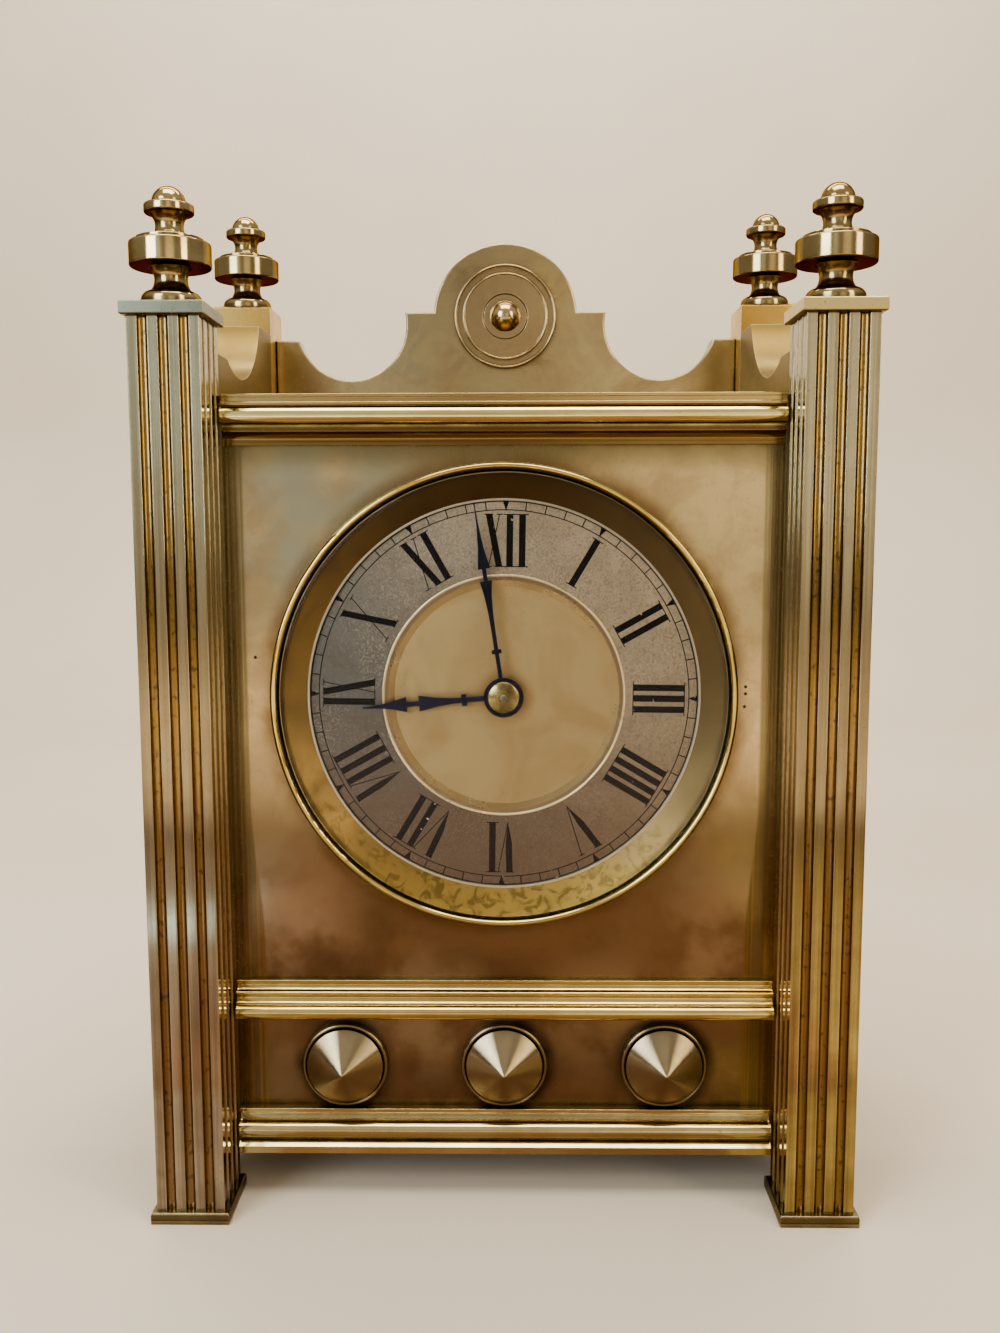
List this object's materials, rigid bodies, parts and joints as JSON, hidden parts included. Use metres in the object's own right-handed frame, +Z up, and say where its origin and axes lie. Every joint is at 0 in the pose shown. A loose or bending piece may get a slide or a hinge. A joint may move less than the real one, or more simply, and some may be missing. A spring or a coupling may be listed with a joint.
{
  "type": "four-post brass mantel clock",
  "caption": "Brass mantel clock: fluted front posts with turned finials, arched pediment, round silvered Roman dial and a hinged back door.",
  "frame": {"origin": "on the table, under the middle of the clock", "axes": "+X to the right of the dial, +Y from the dial to the back door, +Z up"},
  "size_m": [0.27, 0.156, 0.408],
  "materials": {
    "case_brass": "aged satin",
    "polished_brass": "polished",
    "movement_brass": "satin",
    "gilt_brass": "matt gilt",
    "silvered_brass": "silvered, tarnished",
    "blued_steel": "blued",
    "steel": "satin",
    "clear_glass": "clear"
  },
  "bodies": {
    "case": {"back_frame": "case_brass", "back_plate": "movement_brass", "balance_cock": "movement_brass", "base_plate": "case_brass", "base_rail": "case_brass", "bezel": "polished_brass", "boss_centre": "polished_brass", "boss_left": "polished_brass", "boss_right": "polished_brass", "chapter_ring": "silvered_brass", "cornice": "case_brass", "dial_centre": "gilt_brass", "dial_feet": "movement_brass", "dial_plate": "movement_brass", "door_hinges": "movement_brass", "foot_plates": "case_brass", "front_finial_left": "polished_brass", "front_finial_right": "polished_brass", "front_panel": "case_brass", "front_plate": "movement_brass", "front_post_left": "case_brass", "front_post_right": "case_brass", "glass": "clear_glass", "mid_rail": "case_brass", "pediment": "case_brass", "plate_pillars": "movement_brass", "platform": "movement_brass", "post_cap_left": "case_brass", "post_cap_right": "case_brass", "rear_finial_left": "polished_brass", "rear_finial_right": "polished_brass", "rear_post_left": "case_brass", "rear_post_right": "case_brass", "roof_plate": "case_brass", "roundel_boss": "polished_brass", "roundel_ring": "polished_brass", "screws": "steel", "side_base_rails": "case_brass", "side_cornices": "case_brass", "side_crest_left": "case_brass", "side_crest_right": "case_brass", "side_mid_rails": "case_brass", "side_panel_left": "case_brass", "side_panel_right": "case_brass", "sight_ring": "polished_brass", "tie_rods": "steel"},
    "minute_train": {"centre_arbor": "steel", "cannon_pinion": "movement_brass", "minute_hand": "blued_steel", "hand_collet": "polished_brass"},
    "hour_train": {"hour_wheel": "movement_brass", "hour_hand": "blued_steel"},
    "minute_wheel": {"minute_wheel": "movement_brass"},
    "barrel": {"going_barrel": "movement_brass"},
    "winding_arbor": {"winding_arbor": "steel"},
    "third_wheel": {"third_wheel": "movement_brass"},
    "balance": {"balance_wheel": "movement_brass"},
    "door": {"back_door": "case_brass", "door_knob": "polished_brass"}
  },
  "joints": [
    {"name": "minute_hand_turn", "type": "hinge", "parent": "case", "child": "minute_train", "pos_m": [0, 0, 0.1995], "axis": [0, 1, 0], "continuous": true},
    {"name": "hour_hand_turn", "type": "hinge", "parent": "case", "child": "hour_train", "pos_m": [0, 0, 0.1995], "axis": [0, 1, 0], "continuous": true},
    {"name": "minute_wheel_turn", "type": "hinge", "parent": "case", "child": "minute_wheel", "pos_m": [0.014, 0, 0.1995], "axis": [0, 1, 0], "continuous": true},
    {"name": "barrel_turn", "type": "hinge", "parent": "case", "child": "barrel", "pos_m": [0, 0, 0.1701], "axis": [0, 1, 0], "continuous": true},
    {"name": "third_wheel_turn", "type": "hinge", "parent": "case", "child": "third_wheel", "pos_m": [0, 0, 0.2211], "axis": [0, 1, 0], "continuous": true},
    {"name": "winding_turn", "type": "hinge", "parent": "case", "child": "winding_arbor", "pos_m": [0, 0, 0.1701], "axis": [0, 1, 0], "continuous": true},
    {"name": "balance_swing", "type": "hinge", "parent": "case", "child": "balance", "pos_m": [0, -0.01375, 0.252], "axis": [0, 0, 1], "range_deg": [-135, 135], "stiffness_Nm_per_rad": 0.00002},
    {"name": "door_swing", "type": "hinge", "parent": "case", "child": "door", "pos_m": [-0.0875, 0.0721, 0.175], "axis": [0, 0, 1], "range_deg": [0, 110]}
  ],
  "couplings": [
    {"joint": "minute_wheel_turn", "follows": "minute_hand_turn", "ratio": -0.33333},
    {"joint": "hour_hand_turn", "follows": "minute_hand_turn", "ratio": 0.083333},
    {"joint": "barrel_turn", "follows": "minute_hand_turn", "ratio": -0.16667},
    {"joint": "third_wheel_turn", "follows": "minute_hand_turn", "ratio": -8}
  ]
}
